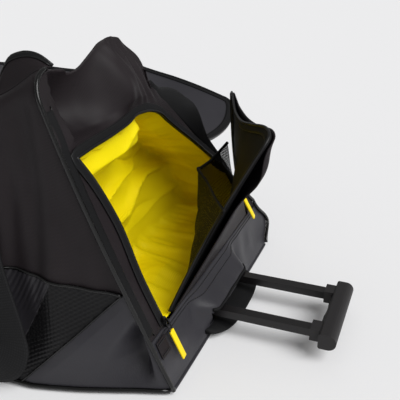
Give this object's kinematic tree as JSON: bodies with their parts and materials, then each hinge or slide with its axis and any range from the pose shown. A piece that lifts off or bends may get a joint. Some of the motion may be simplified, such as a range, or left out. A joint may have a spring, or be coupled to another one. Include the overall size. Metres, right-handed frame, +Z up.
{
  "type": "wheeled hockey equipment bag",
  "caption": "Soft wheeled hockey bag on a stiff base, slumped empty, with an unzipped end pocket in yellow lining, a thrown-back lid and a telescopic tow handle.",
  "frame": {"origin": "on the floor under the middle of the base", "axes": "+X along the bag towards the telescopic handle, +Y across it to the far side, +Z up"},
  "size_m": [1.155, 0.6693, 0.4526],
  "materials": {
    "black_cloth": "woven polyester, matt",
    "coated_cloth": "coated cloth with a soft sheen",
    "embossed_cloth": "embossed coated cloth",
    "lining": "thin woven nylon",
    "mesh": "open knitted mesh",
    "zip_tape": "coil zip tape",
    "webbing": "ribbed polypropylene webbing",
    "piping": "vinyl covered cord",
    "base_plastic": "polyethylene sheet",
    "handle_plastic": "moulded nylon",
    "rod_metal": "black anodised tube",
    "tube_metal": "drawn tube",
    "steel": "zinc plated",
    "slider_metal": "black enamel",
    "pull_rubber": "moulded soft tab",
    "tyre": "moulded polyurethane",
    "hub": "moulded nylon"
  },
  "bodies": {
    "shell": {"bottom_panel": "coated_cloth", "base_board": "base_plastic", "near_side_panel": "black_cloth", "near_embossed_panel": "embossed_cloth", "near_corner_panel": "coated_cloth", "far_side_panel": "black_cloth", "far_corner_panel": "coated_cloth", "end_upper_panel": "black_cloth", "end_lower_panel": "coated_cloth", "wheel_end_panel": "black_cloth", "near_top_border": "black_cloth", "near_piping": "piping", "far_piping": "piping", "pocket_lining": "lining", "pocket_zip_tape": "zip_tape", "handle_sleeve": "black_cloth", "throat_lip": "black_cloth", "front_bracket": "handle_plastic", "rear_bracket": "handle_plastic", "bracket_screws": "steel", "near_tube": "tube_metal", "far_tube": "tube_metal", "near_wheel_housing": "base_plastic", "far_wheel_housing": "base_plastic", "near_axle": "steel", "far_axle": "steel"},
    "flap": {"pocket_flap": "black_cloth", "flap_zip_tape": "zip_tape", "flap_mesh": "mesh"},
    "near_zip_slider": {"near_slider": "slider_metal"},
    "near_zip_pull": {"near_pull": "pull_rubber"},
    "far_zip_slider": {"far_slider": "slider_metal"},
    "far_zip_pull": {"far_pull": "pull_rubber"},
    "main_zip_slider": {"main_slider": "slider_metal"},
    "main_zip_pull": {"main_pull": "pull_rubber"},
    "lid": {"main_lid": "coated_cloth", "lid_zip_tape": "zip_tape"},
    "handle": {"near_rod": "rod_metal", "far_rod": "rod_metal", "near_rod_plug": "handle_plastic", "far_rod_plug": "handle_plastic", "grip": "handle_plastic"},
    "trigger": {"release_trigger": "handle_plastic"},
    "near_pin": {"near_lock_pin": "steel"},
    "far_pin": {"far_lock_pin": "steel"},
    "near_wheel": {"near_tyre": "tyre", "near_hub": "hub"},
    "far_wheel": {"far_tyre": "tyre", "far_hub": "hub"},
    "near_strap": {"near_carry_strap": "webbing"},
    "far_strap": {"far_carry_strap": "webbing"}
  },
  "joints": [
    {"name": "handle_slide", "type": "slide", "parent": "shell", "child": "handle", "axis": [1, 0, 0], "range_m": [-0.15, 0.22]},
    {"name": "trigger_squeeze", "type": "slide", "parent": "handle", "child": "trigger", "axis": [1, 0, 0], "range_m": [0, 0.004], "stiffness_N_per_m": 300},
    {"name": "near_pin_draw", "type": "slide", "parent": "handle", "child": "near_pin", "axis": [0, 1, 0], "range_m": [0, 0.003]},
    {"name": "far_pin_draw", "type": "slide", "parent": "handle", "child": "far_pin", "axis": [0, -1, 0], "range_m": [0, 0.003]},
    {"name": "flap_hinge", "type": "hinge", "parent": "shell", "child": "flap", "pos_m": [0.44053, 0, 0.0886], "axis": [0, 1, 0], "range_deg": [-25, 80]},
    {"name": "near_zip_run", "type": "slide", "parent": "shell", "child": "near_zip_slider", "axis": [-0.33, -0.1497, 0.932], "range_m": [0, 0.19]},
    {"name": "near_pull_swing", "type": "hinge", "parent": "near_zip_slider", "child": "near_zip_pull", "pos_m": [0.44633, -0.199, 0.0929], "axis": [0.05, -0.9887, -0.1411], "range_deg": [0, 140]},
    {"name": "far_zip_run", "type": "slide", "parent": "shell", "child": "far_zip_slider", "axis": [-0.2892, -0.4993, 0.8167], "range_m": [-0.048, 0.062]},
    {"name": "far_pull_swing", "type": "hinge", "parent": "far_zip_slider", "child": "far_zip_pull", "pos_m": [0.43245, 0.17503, 0.13211], "axis": [0.1142, -0.9397, -0.3224], "range_deg": [0, 140]},
    {"name": "main_zip_run", "type": "slide", "parent": "shell", "child": "main_zip_slider", "axis": [1, 0, 0], "range_m": [0, 0.5]},
    {"name": "main_pull_swing", "type": "hinge", "parent": "main_zip_slider", "child": "main_zip_pull", "pos_m": [-0.38598, -0.206, 0.44952], "axis": [0, -1, 0], "range_deg": [0, 178]},
    {"name": "lid_hinge", "type": "hinge", "parent": "shell", "child": "lid", "pos_m": [0, 0.0405, 0.3223], "axis": [1, 0, 0], "range_deg": [-33, 155]},
    {"name": "near_wheel_spin", "type": "hinge", "parent": "shell", "child": "near_wheel", "pos_m": [-0.448, -0.175, 0.042], "axis": [0, 1, 0], "continuous": true},
    {"name": "far_wheel_spin", "type": "hinge", "parent": "shell", "child": "far_wheel", "pos_m": [-0.448, 0.175, 0.042], "axis": [0, 1, 0], "continuous": true},
    {"name": "near_strap_swing", "type": "hinge", "parent": "shell", "child": "near_strap", "pos_m": [0.07, -0.2744, 0.25], "axis": [-1, 0, 0], "range_deg": [0, 130]},
    {"name": "far_strap_swing", "type": "hinge", "parent": "shell", "child": "far_strap", "pos_m": [0.07, 0.07426, 0.286], "axis": [1, 0, 0], "range_deg": [0, 22]}
  ],
  "couplings": [
    {"joint": "near_pin_draw", "follows": "trigger_squeeze", "ratio": 0.75},
    {"joint": "far_pin_draw", "follows": "trigger_squeeze", "ratio": 0.75}
  ]
}
